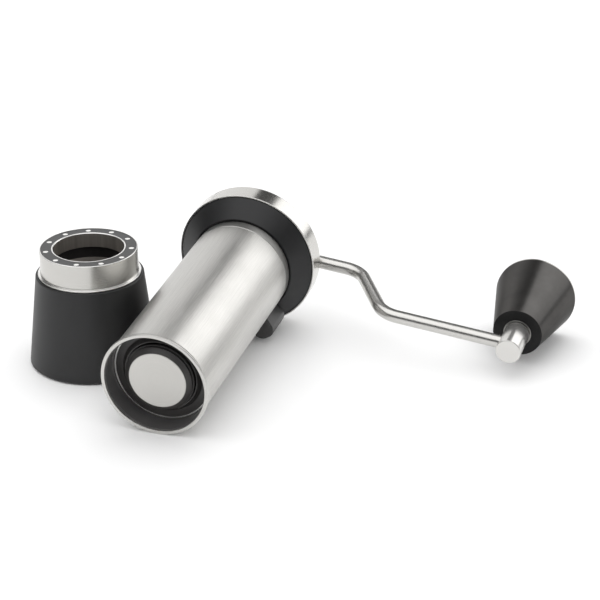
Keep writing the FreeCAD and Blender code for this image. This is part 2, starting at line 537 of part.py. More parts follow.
# ---------------------------------------------------------------------------------------------------------
# The catch cup
# ---------------------------------------------------------------------------------------------------------
turned("cup_sleeve", CUP, [
    ("0", "foot_tall"), ("foot_out", "foot_tall"), ("foot_out", "cup_foot"), ("cup_base - cup_base_ease", "cup_foot"),
    ("cup_base", "cup_foot + cup_base_ease"), ("cup_shoulder", "cup_tall"), ("cup_mouth", "cup_tall"),
    ("cup_mouth", "cup_mouth_foot"), ("cup_well", "cup_floor_level"), ("0", "cup_floor_level")])
ring("cup_foot_ring", CUP, "foot_bore", "foot_out", "0", "foot_tall")
ring("cup_floor_plate", CUP, "0", "cup_under", "cup_floor_level", "cup_floor_level + tray_thick")
turned("cup_collar", CUP, [
    ("cup_under", "cup_mouth_foot"), ("cup_mouth", "cup_mouth_foot"), ("cup_mouth", "cup_tall"),
    ("neck_lip", "cup_tall"), ("neck_lip", "neck_lip_top"), ("cup_neck", "neck_lip_top"),
    ("cup_neck", "cup_height - neck_ease"), ("cup_neck - neck_ease", "cup_height"), ("ring_out", "cup_height"),
    ("ring_out", "ring_groove"), ("ring_bore", "ring_groove"), ("ring_bore", "cup_height"),
    ("cup_bore + neck_ease", "cup_height"), ("cup_bore", "cup_height - neck_ease"), ("cup_bore", "cup_bore_foot"),
    ("cup_under", "cup_bore_foot")])

magnet_turns = around(SIZES["magnets"], SIZES["first_magnet"])
pockets = [primitive("Cylinder", f"magnet_pocket_{step}",
                     at(turn=turn).multiply(at(across=value("magnet_pitch"), up=value("magnet_foot"))),
                     Radius="magnet_radius", Height="ring_face - magnet_foot")
           for step, turn in enumerate(magnet_turns, 1)]
ring_blank = turned_blank("magnet_ring_blank", [
    ("ring_bore", "ring_groove"), ("ring_out", "ring_groove"), ("ring_out", "ring_face"), ("ring_bore", "ring_face")])
keep(less("magnet_ring", ring_blank, pockets), "magnet_ring", CUP)
for step, turn in enumerate(magnet_turns, 1):
    magnet = primitive("Cylinder", f"cup_magnet_{step}", Radius="magnet_radius", Height="magnet_face - magnet_foot")
    keep(magnet, f"cup_magnet_{step:02d}",
         CUP.multiply(at(turn=turn)).multiply(at(across=value("magnet_pitch"), up=value("magnet_foot"))))


# ---------------------------------------------------------------------------------------------------------
# Check everything and write it out
# ---------------------------------------------------------------------------------------------------------
doc.recompute()
failed = [item.Name for item in doc.Objects if "Invalid" in item.State or "Error" in item.State]
if failed:
    raise SystemExit("these objects failed: " + ", ".join(failed))
for node in nodes:
    if node.Shape.isNull() or not node.Shape.isValid() or len(node.Shape.Solids) != 1:
        raise SystemExit(f"{node.Label} is not one valid solid")

os.makedirs("parts", exist_ok=True)
whole = FreeCAD.BoundBox()
for node in nodes:
    whole.add(node.Shape.BoundBox)
    node.Shape.exportStep(f"parts/{node.Label}.step")
print(f"{len(nodes)} pieces, box {whole.XMin:.2f} {whole.YMin:.2f} {whole.ZMin:.2f} to "
      f"{whole.XMax:.2f} {whole.YMax:.2f} {whole.ZMax:.2f}")
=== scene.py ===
"""Looks for the hand crank coffee grinder: its visible pieces, materials, light and camera.

Every turned piece is described in millimetres, as (radius, height) corners about the axis that it turns on. A
corner's third number, where it has one, is the radius that rounds it. Radii and heights are read from the CAD
nodes, and only what those don't give is set here, such as grooves, inner shoulders and edge roundings.
"""
import json
import math
from types import SimpleNamespace

import bmesh
import bpy
from mathutils import Matrix, Vector


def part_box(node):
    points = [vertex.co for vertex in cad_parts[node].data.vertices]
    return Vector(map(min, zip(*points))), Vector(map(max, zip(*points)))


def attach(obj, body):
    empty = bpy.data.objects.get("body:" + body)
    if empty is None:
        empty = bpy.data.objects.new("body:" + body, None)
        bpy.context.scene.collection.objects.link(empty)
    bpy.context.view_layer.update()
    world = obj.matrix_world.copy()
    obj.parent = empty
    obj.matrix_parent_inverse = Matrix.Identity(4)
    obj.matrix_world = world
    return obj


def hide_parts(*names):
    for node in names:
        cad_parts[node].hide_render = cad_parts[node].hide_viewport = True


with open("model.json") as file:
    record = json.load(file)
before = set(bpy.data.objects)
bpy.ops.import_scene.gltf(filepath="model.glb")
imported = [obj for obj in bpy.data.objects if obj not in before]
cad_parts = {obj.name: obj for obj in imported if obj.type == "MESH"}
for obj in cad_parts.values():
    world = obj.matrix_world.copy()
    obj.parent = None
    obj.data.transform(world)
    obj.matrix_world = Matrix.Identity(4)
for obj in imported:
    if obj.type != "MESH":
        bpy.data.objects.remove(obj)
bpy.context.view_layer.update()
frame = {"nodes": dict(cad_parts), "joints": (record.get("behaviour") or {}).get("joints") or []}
NODES = frame["nodes"]
JOINTS = {joint["name"]: joint for joint in frame["joints"]}
MM = 0.001


# ----------------------------------------------------------------------------------------------------------
# Axes of the grinder, the crank, the knob and the cup, read from the joints and the CAD nodes
# ----------------------------------------------------------------------------------------------------------
def axes(origin, along, across):
    """A matrix from a piece's own millimetres to the row's metres: Z runs along, X across."""
    z_axis = Vector(along).normalized()
    x_axis = Vector(across)
    x_axis = (x_axis - z_axis * x_axis.dot(z_axis)).normalized()
    turn = Matrix((x_axis, z_axis.cross(x_axis), z_axis)).transposed().to_4x4()
    return Matrix.Translation(origin) @ turn @ Matrix.Scale(MM, 4)


def measure(node, place):
    """A node's lowest and highest point along Z and its smallest and largest radius, in millimetres."""
    back = place.inverted()
    points = [back @ vertex.co for vertex in NODES[node].data.vertices]
    radii = [math.hypot(point.x, point.y) for point in points]
    heights = [point.z for point in points]
    return SimpleNamespace(foot=min(heights), top=max(heights), bore=min(radii), out=max(radii))


along = Vector(JOINTS["crank_pull"]["axis"])
on_axis = Vector(JOINTS["crank_spin"]["pos_m"])
on_knob = Vector(JOINTS["knob_spin"]["pos_m"])
mouth = on_axis + along * min((vertex.co - on_axis).dot(along) for vertex in NODES["body_tube"].data.vertices)
reach = on_knob - mouth
reach -= along * reach.dot(along)
cup_low, cup_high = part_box("cup_sleeve")
GRINDER = axes(mouth, along, (1, 0, 0))
CRANK = axes(mouth, along, reach)
KNOB = axes(mouth + reach, along, reach)
CUP = axes(((cup_low.x + cup_high.x) / 2, (cup_low.y + cup_high.y) / 2, 0), (0, 0, 1), (1, 0, 0))


# ----------------------------------------------------------------------------------------------------------
# Mesh helpers
# ----------------------------------------------------------------------------------------------------------
SHARP_EDGE = math.radians(35)
LONGEST_CUT = 0.49  # the share of a straight stretch that one end's rounding may take
ON_AXIS = 1e-6
# How a bar's end is rounded: each ring's share of the rounding inwards, and its share of the rise
END_RINGS = ((1.0, 0.0), (0.6, 0.07), (0.3, 0.3), (0.08, 0.65), (0.0, 1.0))


def rounded(outline, steps=6):
    """An outline's corners as points, where a corner with a third number is rounded by that radius."""
    points = []
    count = len(outline)
    for index, corner in enumerate(outline):
        here = Vector(corner[:2])
        radius = corner[2] if len(corner) > 2 else 0
        if not radius:
            points.append(here)
            continue
        before = Vector(outline[index - 1][:2]) - here
        after = Vector(outline[(index + 1) % count][:2]) - here
        half = before.angle(after) / 2
        cut = min(radius / math.tan(half), before.length * LONGEST_CUT, after.length * LONGEST_CUT)
        bisector = (before.normalized() + after.normalized()).normalized()
        centre = here + bisector * (cut / math.cos(half))
        start = here + before.normalized() * cut - centre
        end = here + after.normalized() * cut - centre
        sweep = math.atan2(start.x * end.y - start.y * end.x, start.dot(end))
        for step in range(steps + 1):
            angle = sweep * step / steps
            points.append(centre + Vector((start.x * math.cos(angle) - start.y * math.sin(angle),
                                           start.x * math.sin(angle) + start.y * math.cos(angle))))
    return points


def build(name, place, corners, faces, material, body, nodes):
    """Makes one piece from corners in its own millimetres, hangs it on its body and hides the CAD nodes it
    replaces.
    """
    mesh = bpy.data.meshes.new(name)
    mesh.from_pydata([place @ Vector(corner) for corner in corners], [], faces)
    work = bmesh.new()
    work.from_mesh(mesh)
    bmesh.ops.recalc_face_normals(work, faces=work.faces)
    work.to_mesh(mesh)
    work.free()
    for polygon in mesh.polygons:
        polygon.use_smooth = True
    mesh.set_sharp_from_angle(angle=SHARP_EDGE)
    mesh.materials.append(material)
    piece = bpy.data.objects.new(name, mesh)
    bpy.context.scene.collection.objects.link(piece)
    normals = piece.modifiers.new("even_normals", "WEIGHTED_NORMAL")
    normals.keep_sharp = True
    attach(piece, body)
    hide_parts(*nodes)
    return piece


def lathe(name, place, outline, material, body, nodes, around=224):
    """A closed outline of (radius, height) corners turned about Z."""
    corners = []
    rings = []
    for radius, height in rounded(outline):
        start = len(corners)
        if radius < ON_AXIS:
            corners.append((0, 0, height))
            rings.append([start] * around)
            continue
        for step in range(around):
            angle = math.tau * step / around
            corners.append((radius * math.cos(angle), radius * math.sin(angle), height))
        rings.append(list(range(start, start + around)))
    faces = []
    for low, high in zip(rings, rings[1:] + rings[:1]):
        for step in range(around):
            after = (step + 1) % around
            face = [low[step], low[after], high[after], high[step]]
            face = [corner for index, corner in enumerate(face) if corner != face[index - 1]]
            if len(set(face)) > 2:
                faces.append(face)
    return build(name, place, corners, faces, material, body, nodes)


def skin(section, count):
    """The faces of a bar whose corners come in rings of one size: both ends, and the sides between."""
    faces = []
    for start in range(0, count - section, section):
        for step in range(section):
            after = (step + 1) % section
            faces.append([start + step, start + after, start + section + after, start + section + step])
    return faces + [list(range(section)), list(range(count - section, count))]


def rod(name, place, stops, radius, material, body, nodes, around=48):
    """A round bar along straight stretches and bends in the XZ plane; it carries its unbent coordinates."""
    path = rounded(stops, steps=14)
    corners = []
    unbent = []
    length = 0.0
    for index, point in enumerate(path):
        back = path[max(index - 1, 0)]
        ahead = path[min(index + 1, len(path) - 1)]
        length += (point - back).length
        run = (ahead - back).normalized()
        for step in range(around):
            angle = math.tau * step / around
            side = radius * math.sin(angle)
            out = radius * math.cos(angle)
            corners.append((point.x - run.y * out, side, point.y + run.x * out))
            unbent.append((out, side, length))
    piece = build(name, place, corners, skin(around, len(corners)), material, body, nodes)
    straight = piece.data.attributes.new("unbent", "FLOAT_VECTOR", "POINT")
    straight.data.foreach_set("vector", [number for point in unbent for number in point])
    return piece


def bar(name, place, profile, foot, top, ease, material, body, nodes):
    """A bar along Z with its own section; top gives the height at a section point, ease rounds both ends."""
    middle = sum((Vector(point) for point in profile), Vector((0, 0))) / len(profile)
    corners = []
    for inset, rise in END_RINGS:
        for point in profile:
            spot = Vector(point) + (middle - Vector(point)).normalized() * inset * ease
            corners.append((spot.x, spot.y, foot + rise * ease))
    for inset, rise in reversed(END_RINGS):
        for point in profile:
            spot = Vector(point) + (middle - Vector(point)).normalized() * inset * ease
            corners.append((spot.x, spot.y, top(spot) - rise * ease))
    return build(name, place, corners, skin(len(profile), len(corners)), material, body, nodes)


def second_look(piece, place, material, chosen):
    """Gives another material to the faces that a test on their middle's radius and height picks."""
    back = place.inverted()
    index = len(piece.data.materials)
    piece.data.materials.append(material)
    for polygon in piece.data.polygons:
        spot = back @ polygon.center
        if chosen(math.hypot(spot.x, spot.y), spot.z):
            polygon.material_index = index


# ----------------------------------------------------------------------------------------------------------
# Materials
# ----------------------------------------------------------------------------------------------------------
NOISE_LOW = 0.3
NOISE_HIGH = 0.7
SCRATCH_LONG = 60
SCRATCH_DRIFT = 0.04
STEEL_CLOUD = 0.06
STEEL_SPREAD = 0.08
SATIN_GRAIN = 5.0
SATIN_GRAIN_DEEP = 0.004
SATIN_CLOUD = 0.05
SATIN_SPREAD = 0.07
SATIN_GAIN = 1.25
SATIN_LIFT = 0.002


class Nodes:
    """A short way to write a node tree."""

    def __init__(self, name):
        self.material = bpy.data.materials.new(name)
        self.material.use_nodes = True
        self.tree = self.material.node_tree
        self.shader = self.tree.nodes["Principled BSDF"]

    def add(self, kind, settings=None, **inputs):
        """A new shader node with its settings and its inputs, which are values or other nodes' outputs."""
        node = self.tree.nodes.new("ShaderNode" + kind)
        for name, value in (settings or {}).items():
            setattr(node, name, value)
        for name, value in inputs.items():
            self.set(node, name.replace("_", " "), value)
        return node

    def set(self, node, name, value):
        """One input of a node, by its name or its number."""
        socket = node.inputs[int(name)] if name.isdigit() else node.inputs[name]
        if isinstance(value, bpy.types.NodeSocket):
            self.tree.links.new(value, socket)
        else:
            socket.default_value = value

    def local(self, place):
        """Row coordinates turned into a piece's own millimetres."""
        back = place.inverted()
        turn = back.to_3x3().normalized().to_euler()
        coordinates = self.add("TexCoord")
        mapping = self.add("Mapping", Location=back.to_translation(), Rotation=turn,
                           Scale=(1 / MM, 1 / MM, 1 / MM))
        self.tree.links.new(coordinates.outputs["Object"], mapping.inputs["Vector"])
        return mapping.outputs["Vector"]

    def scaled(self, vector, scale):
        """A vector with each part multiplied."""
        return self.add("Mapping", Vector=vector, Scale=scale).outputs["Vector"]

    def noise(self, vector, scale, detail=3.0, roughness=0.6):
        """A noise between 0 and 1."""
        node = self.add("TexNoise", Vector=vector, Scale=scale, Detail=detail, Roughness=roughness)
        return node.outputs["Fac"]

    def ramp(self, value, low, high, out_low, out_high):
        """A value carried from one range to another, and held at its ends."""
        return self.add("MapRange", Value=value, From_Min=low, From_Max=high, To_Min=out_low,
                        To_Max=out_high).outputs["Result"]

    def spread(self, noise, middle, share):
        """A value that a noise moves up and down by a share of itself."""
        return self.ramp(noise, NOISE_LOW, NOISE_HIGH, middle * (1 - share), middle * (1 + share))

    def mix(self, factor, first, second):
        """A blend of two colours."""
        node = self.add("Mix", {"data_type": "RGBA"})
        for index, value in ((0, factor), (6, first), (7, second)):
            self.set(node, str(index), value)
        return node.outputs[2]

    def bump(self, height, distance):
        """A normal that follows a height."""
        return self.add("Bump", Height=height, Distance=distance).outputs["Normal"]

    def use(self, **inputs):
        """Fills the shader's inputs, and gives the finished material."""
        for name, value in inputs.items():
            self.set(self.shader, name.replace("_", " "), value)
        return self.material


def steel(name, place, color, rough, grain="along", depth=0.002, fine=2.2, contrast=0.1, metal=1.0):
    """Brushed steel: fine scratches along or around a piece's own Z axis.

    With no place, the scratches follow the unbent coordinates that a rod carries. depth is in millimetres,
    fine is how close the scratches are, and contrast is how much they change the colour and the gloss.
    """
    nodes = Nodes(name)
    if place:
        own = nodes.local(place)
    else:
        own = nodes.add("Attribute", {"attribute_name": "unbent"}).outputs["Vector"]
    if grain == "along":
        lines = nodes.scaled(own, (fine, fine, fine / SCRATCH_LONG))
    else:
        radius = nodes.add("VectorMath", {"operation": "LENGTH"})
        nodes.set(radius, "0", nodes.scaled(own, (1, 1, 0)))
        split = nodes.add("SeparateXYZ", Vector=own)
        join = nodes.add("CombineXYZ", X=radius.outputs["Value"], Y=0.0, Z=split.outputs["Z"])
        drifting = nodes.add("VectorMath", {"operation": "ADD"})
        nodes.set(drifting, "0", nodes.scaled(join.outputs["Vector"], (fine * 2, fine * 2, fine * 2)))
        nodes.set(drifting, "1", nodes.scaled(own, (SCRATCH_DRIFT, SCRATCH_DRIFT, 0.0)))
        lines = drifting.outputs["Vector"]
    scratch = nodes.noise(lines, 1.0, detail=4.0, roughness=0.7)
    cloud = nodes.noise(own, STEEL_CLOUD, detail=2.0)
    tone = nodes.ramp(scratch, NOISE_LOW, NOISE_HIGH, 1 - contrast, 1 + contrast / 2)
    dark = tuple(part * (1 - contrast) for part in color)
    base = nodes.mix(nodes.ramp(scratch, NOISE_LOW, NOISE_HIGH, 0, 1), (*dark, 1), (*color, 1))
    roughness = nodes.add("Math", {"operation": "MULTIPLY"})
    nodes.set(roughness, "0", nodes.spread(cloud, rough, STEEL_SPREAD))
    nodes.set(roughness, "1", tone)
    return nodes.use(Base_Color=base, Metallic=metal, Roughness=roughness.outputs["Value"],
                     Normal=nodes.bump(scratch, depth * MM))


def satin(name, place, color, rough, gloss=1.5, metal=0.0, edge=1.0):
    """Satin black plastic or anodised metal: a very fine grain and a slow change of gloss."""
    nodes = Nodes(name)
    own = nodes.local(place)
    fine = nodes.noise(own, SATIN_GRAIN, detail=2.0)
    cloud = nodes.noise(own, SATIN_CLOUD, detail=3.0)
    lighter = tuple(part * SATIN_GAIN + SATIN_LIFT for part in color)
    base = nodes.mix(nodes.ramp(cloud, 0.35, 0.65, 0, 1), (*color, 1), (*lighter, 1))
    roughness = nodes.spread(cloud, rough, SATIN_SPREAD)
    return nodes.use(Base_Color=base, IOR=gloss, Roughness=roughness, Metallic=metal,
                     Specular_Tint=(edge, edge, edge, 1), Normal=nodes.bump(fine, SATIN_GRAIN_DEEP * MM))


STEEL = (0.60, 0.59, 0.565)
BLACK = (0.0085, 0.0085, 0.0092)
tube_steel = steel("tube_steel", GRINDER, (0.70, 0.69, 0.665), 0.42, depth=0.004, fine=3.0, contrast=0.24)
neck_steel = steel("neck_steel", GRINDER, (0.47, 0.465, 0.45), 0.36, "around")
# A steel much brighter than the real one, which paints highlights: the keeper wire's line, the lid's foot
# band and the cup collar's edges.
highlight_steel = steel("highlight_steel", CUP, (0.92, 0.91, 0.89), 0.3, "around", contrast=0.03)
rim_steel = steel("rim_steel", CRANK, STEEL, 0.20, "around")
rod_steel = steel("rod_steel", None, (0.61, 0.60, 0.58), 0.27, depth=0.001, metal=0.97)
pin_steel = steel("pin_steel", KNOB, (0.66, 0.65, 0.63), 0.25, "around", depth=0.001, metal=0.86)
bush_steel = steel("bush_steel", KNOB, (0.40, 0.395, 0.38), 0.35, "around", depth=0.001)
cup_steel = steel("cup_steel", CUP, STEEL, 0.26, "around")
# A darker, browner copy of the cup's steel, which paints the shade in the collar's bore.
shaded_bore_steel = steel("shaded_bore_steel", CUP, (0.36, 0.33, 0.30), 0.42, fine=0.5, contrast=0.3, metal=0.7)
face_steel = steel("face_steel", GRINDER, STEEL, 0.34, "around")
burr_steel = steel("burr_steel", GRINDER, (0.06, 0.058, 0.056), 0.55, "around")
alloy = steel("inner_alloy", GRINDER, (0.66, 0.67, 0.69), 0.38, "around")
bronze = steel("bronze", GRINDER, (0.55, 0.38, 0.18), 0.4, "around")
nickel = steel("nickel", CUP, (0.97, 0.96, 0.94), 0.3, "around", depth=0.001, contrast=0.03)
collar_black = satin("collar_black", GRINDER, BLACK, 0.42, gloss=1.45)
rest_black = satin("rest_black", GRINDER, (0.016, 0.0155, 0.015), 0.42, gloss=1.75)
knob_black = satin("knob_black", KNOB, (0.092, 0.089, 0.086), 0.30, metal=1.0, edge=0.45)
# A darker, duller black on the knob's small end face, which paints the shade that falls there.
knob_end_painted_shade = satin("knob_end_painted_shade", KNOB, (0.005, 0.005, 0.005), 0.5, gloss=1.3)
cup_black = satin("cup_black", CUP, BLACK, 0.45)
# The black satin of the mouth's pieces; in the cup it also paints the shade in the hollow under the steel
# collar's bore.
black_satin_and_painted_shade = satin("black_satin_and_painted_shade", GRINDER, (0.034, 0.032, 0.031), 0.38)
rubber = satin("foot_rubber", CUP, (0.02, 0.02, 0.02), 0.7)
# The lining's own black, made several times lighter, which paints the light that falls on the mouth's inner
# wall.
liner_black_painted_light = satin("liner_black_painted_light", GRINDER, (0.062, 0.06, 0.06), 0.42)
ring_grey = satin("ring_grey", CUP, (0.03, 0.03, 0.03), 0.42)
# A pale diffuse colour, which the lamps light into the painted patch of light on the cup collar's inner wall.
painted_light_patch = satin("painted_light_patch", CUP, (0.36, 0.33, 0.30), 0.5)


# ----------------------------------------------------------------------------------------------------------
# The tube and the band at its upper end
# ----------------------------------------------------------------------------------------------------------
tube = measure("body_tube", GRINDER)
neck = measure("neck_ring", GRINDER)
liner = measure("mouth_liner", GRINDER)
SEAM = 0.25  # how deep and how wide the fine seams at both ends of the tube are
TUBE_WALL = 0.8
TUBE_EASE = 0.3
LIP_TALL = 2.2
LIP_GROOVE = 2.7
LINE_FOOT = 0.8  # the fine line turned round the lip
LINE_TOP = 1.5
LINE_DEEP = 0.3
LINE_SLOPE = 0.2
barrel = liner.out + TUBE_WALL
line_bottom = tube.out - LINE_DEEP

lathe("tube", GRINDER, [
    (tube.bore, 0, 0.3), (tube.out, 0, 0.45), (tube.out, LINE_FOOT), (line_bottom, LINE_FOOT + LINE_SLOPE),
    (line_bottom, LINE_TOP - LINE_SLOPE), (tube.out, LINE_TOP), (tube.out, LIP_TALL, 0.3),
    (barrel - SEAM, LIP_TALL), (barrel - SEAM, LIP_GROOVE - SEAM), (barrel, LIP_GROOVE),
    (barrel, tube.top - TUBE_EASE), (barrel - TUBE_EASE, tube.top), (tube.bore, tube.top)],
    tube_steel, "housing", ["body_tube"])

SPIGOT_BORE = 26.2
NECK_TOP = 132.25
NECK_SHELF = 130.2
NECK_UNDER = 127.8
NECK_INSET = 0.1
neck_face = neck.out - NECK_INSET
lathe("neck_band", GRINDER, [
    (SPIGOT_BORE, neck.foot), (liner.out, neck.foot), (liner.out, tube.top), (neck_face - SEAM, tube.top),
    (neck_face - SEAM, tube.top + SEAM), (neck_face, tube.top + 2 * SEAM), (neck_face, NECK_TOP, 0.15),
    (liner.out, NECK_TOP), (liner.out, neck.top), (neck.bore, neck.top), (neck.bore, NECK_SHELF),
    (SPIGOT_BORE, NECK_UNDER)],
    neck_steel, "housing", ["neck_ring"])


# ----------------------------------------------------------------------------------------------------------
# The mouth: its lining, the burr carrier, the keeper ring and the burr's hub
# ----------------------------------------------------------------------------------------------------------
carrier = measure("burr_carrier", GRINDER)
keeper = measure("keeper_ring", GRINDER)
flange = measure("burr_flange", GRINDER)
disc = measure("burr_disc", GRINDER)
burr = measure("outer_burr", GRINDER)

lathe("mouth_skin", GRINDER, [
    (liner.bore, liner.foot, 0.1), (liner.out, liner.foot), (liner.out, liner.top), (liner.bore, liner.top)],
    liner_black_painted_light, "housing", ["mouth_liner"])

CARRIER_LIP = 19.1
LIP_THICK = 0.5
BOSS_FACE = 9.9  # the carrier's raised edge round the hub
BOSS_WALL = 0.7
BOSS_ROOT = 2.4
SHELF_THICK = 1.0
burr_shelf = carrier.top - SHELF_THICK
lathe("burr_holder", GRINDER, [
    (CARRIER_LIP, BOSS_FACE, 0.1), (CARRIER_LIP + BOSS_WALL, BOSS_FACE, 0.3),
    (CARRIER_LIP + BOSS_ROOT, carrier.foot, 1.0), (keeper.bore, carrier.foot), (keeper.bore, keeper.top),
    (keeper.out, keeper.top), (keeper.out, carrier.foot), (carrier.out, carrier.foot),
    (carrier.out, carrier.top), (carrier.bore, carrier.top), (carrier.bore, burr_shelf),
    (burr.out, burr_shelf), (burr.out, carrier.foot + LIP_THICK), (CARRIER_LIP, carrier.foot + LIP_THICK)],
    black_satin_and_painted_shade, "housing", ["burr_carrier"])

WIRE_WIDER = 0.25
WIRE_PROUD = 0.2
WIRE_CLEAR = 0.02
wire_bore = keeper.bore - WIRE_WIDER
wire_face = keeper.foot - WIRE_PROUD
wire_back = carrier.foot - WIRE_CLEAR
# The keeper wire is drawn in the brighter steel, a painted highlight along its line.
lathe("keeper_wire", GRINDER, [
    (wire_bore, wire_face, 0.15), (keeper.out, wire_face, 0.1), (keeper.out, keeper.top),
    (keeper.bore, keeper.top), (keeper.bore, wire_back), (wire_bore, wire_back)],
    highlight_steel, "housing", ["keeper_ring"])

SHAFT = 4.0
HUB_LAND = 0.3
HUB_SIDE = 18.2
HUB_LEVEL = 6.8
HUB_GROOVE = 17.6
GROOVE_FRONT = 7.6
GROOVE_BACK = 8.2
lathe("burr_hub", CRANK, [
    (SHAFT, disc.top), (disc.out, disc.top), (disc.out, flange.foot), (disc.out + HUB_LAND, flange.foot, 0.1),
    (HUB_SIDE, HUB_LEVEL, 0.2), (HUB_SIDE, GROOVE_FRONT, 0.1), (HUB_GROOVE, GROOVE_FRONT),
    (HUB_GROOVE, GROOVE_BACK), (flange.out, GROOVE_BACK, 0.3), (flange.out, flange.top), (SHAFT, flange.top)],
    black_satin_and_painted_shade, "spindle", ["burr_flange"])
lathe("hub_disc", CRANK, [
    (0, disc.foot), (disc.out, disc.foot, 0.25), (disc.out, disc.top), (0, disc.top)],
    face_steel, "spindle", ["burr_disc"])


# ----------------------------------------------------------------------------------------------------------
# The hopper collar and the thumb rest
# ----------------------------------------------------------------------------------------------------------
collar = measure("hopper_collar", GRINDER)
lid = measure("lid_cap", CRANK)
FLARE_FOOT = 28.2
GAP = 0.5  # the dark gap between the collar's foot and the tube
GAP_DEEP = 1.2
COLLAR_WALL = 1.8
COLLAR_BEND = 1.6
flare_slope = (lid.foot - collar.foot) / (collar.out - FLARE_FOOT)
collar_inner = collar.out - COLLAR_WALL
lathe("collar", GRINDER, [
    (collar.bore, collar.foot + GAP_DEEP), (FLARE_FOOT + GAP, collar.foot + GAP_DEEP),
    (FLARE_FOOT + GAP, collar.foot + GAP * flare_slope, 0.15), (collar.out, lid.foot, 0.8),
    (collar.out, collar.top, 0.3), (collar_inner, collar.top, 0.3),
    (collar_inner, lid.foot + COLLAR_BEND, 2.0), (collar.bore, neck.top)],
    collar_black, "housing", ["hopper_collar"])

REST_TURN = math.radians(60)
REST_REACH = 39.0
REST_HALF = 6.2
REST_ROUND = 5.2
REST_LIFT = 0.3
REST_EASE = 0.5
INNER_PARTS = 4
CORNER_PARTS = 12
rest = measure("thumb_rest", GRINDER)


def rest_section():
    """The thumb rest's section: the tube's curve inside, two round corners outside."""
    half = math.asin(REST_HALF / neck.out)
    section = []
    for part in range(-INNER_PARTS, INNER_PARTS + 1):
        angle = half * part / INNER_PARTS
        section.append((neck.out * math.cos(angle), neck.out * math.sin(angle)))
    quarter = [math.pi / 2 * step / CORNER_PARTS for step in range(CORNER_PARTS + 1)]
    for side, angles in ((1, quarter), (-1, reversed(quarter))):
        for angle in angles:
            section.append((REST_REACH - REST_ROUND * (1 - math.sin(angle)),
                            side * (REST_HALF - REST_ROUND * (1 - math.cos(angle)))))
    return section


def rest_top(spot):
    """The bar ends on the collar's flare, or flat where it stands clear of it."""
    return min(rest.top, collar.foot + REST_LIFT + max(math.hypot(*spot) - FLARE_FOOT, 0) * flare_slope)


bar("thumb_bar", GRINDER @ Matrix.Rotation(REST_TURN, 4, "Z"), rest_section(), rest.foot, rest_top, REST_EASE,
    rest_black, "housing", ["thumb_rest"])


# ----------------------------------------------------------------------------------------------------------
# The lid, the crank and its pin
# ----------------------------------------------------------------------------------------------------------
hub = measure("crank_hub", CRANK)
arm = measure("crank_arm", CRANK)
pin = measure("cross_pin", KNOB)
LID_INSIDE_BOX = 0.01  # keeps the finer circle inside the CAD's box
LID_WALL = 0.77
LID_SKIN = 1.6
LID_HIGHLIGHT_BAND = 0.25
LID_GROOVE_AT = 3.0
LID_GROOVE_WIDE = 0.8
LID_GROOVE_SLOPE = 0.2
LID_GROOVE_DEEP = 0.25
lid_edge = lid.out - LID_INSIDE_BOX
groove_out = lid_edge - LID_GROOVE_AT
groove_in = groove_out - LID_GROOVE_WIDE
groove_bottom = lid.top - LID_GROOVE_DEEP
lid_piece = lathe("lid", CRANK, [
    (lid.bore, lid.top - LID_SKIN), (lid_edge - LID_WALL, lid.top - LID_SKIN),
    (lid_edge - LID_WALL, lid.foot, 0.15), (lid_edge, lid.foot, 0.2), (lid_edge, lid.top, 0.7),
    (groove_out, lid.top), (groove_out - LID_GROOVE_SLOPE, groove_bottom, 0.1),
    (groove_in + LID_GROOVE_SLOPE, groove_bottom, 0.1), (groove_in, lid.top), (lid.bore, lid.top)],
    rim_steel, "crank", ["lid_cap"])
# Painted highlight: a thin band round the lid's foot in the brighter steel.
second_look(lid_piece, CRANK, highlight_steel, lambda radius, height: height < lid.foot + LID_HIGHLIGHT_BAND)

SOCKET = 4.08
MAGNET_OUT = 3.2
MAGNET_FOOT = 156.0
MAGNET_TOP = 158.0
DISH_EDGE = 0.9  # the shallow dish in the hub's face
DISH_SLOPE = 0.2
DISH_DEEP = 0.3
lathe("hub", CRANK, [
    (SOCKET, hub.foot, 0.2), (lid.bore, hub.foot, 0.2), (lid.bore, lid.top), (hub.out, lid.top, 0.1),
    (hub.out, hub.top, 0.6), (hub.out - DISH_EDGE, hub.top, 0.15),
    (hub.out - DISH_EDGE - DISH_SLOPE, hub.top - DISH_DEEP), (0, hub.top - DISH_DEEP), (0, MAGNET_TOP),
    (MAGNET_OUT, MAGNET_TOP), (MAGNET_OUT, MAGNET_FOOT), (SOCKET, MAGNET_FOOT)],
    rim_steel, "crank", ["crank_hub"])

ARM_RADIUS = 3.6
ARM_START = 4.6
NEAR_BEND = 61.9
FAR_BEND = 86.0
BEND_ROUND = 15.0
ARM_INTO_PIN = 0.6
arm_high = arm.top - ARM_RADIUS
arm_low = arm.foot + ARM_RADIUS
rod("arm", CRANK, [
    (ARM_START, arm_high), (NEAR_BEND, arm_high, BEND_ROUND), (FAR_BEND, arm_low, BEND_ROUND),
    (arm.out + ARM_INTO_PIN, arm_low)],
    ARM_RADIUS, rod_steel, "crank", ["crank_arm"])

PIN_BACK = 12.2
pin_shoulder = arm_low + PIN_BACK
lathe("pin", KNOB, [
    (0, pin.foot), (pin.out, pin.foot, 0.4), (pin.out, pin_shoulder, 0.2), (SHAFT, pin_shoulder),
    (SHAFT, pin.top, 0.3), (0, pin.top)],
    pin_steel, "crank", ["cross_pin"], around=96)


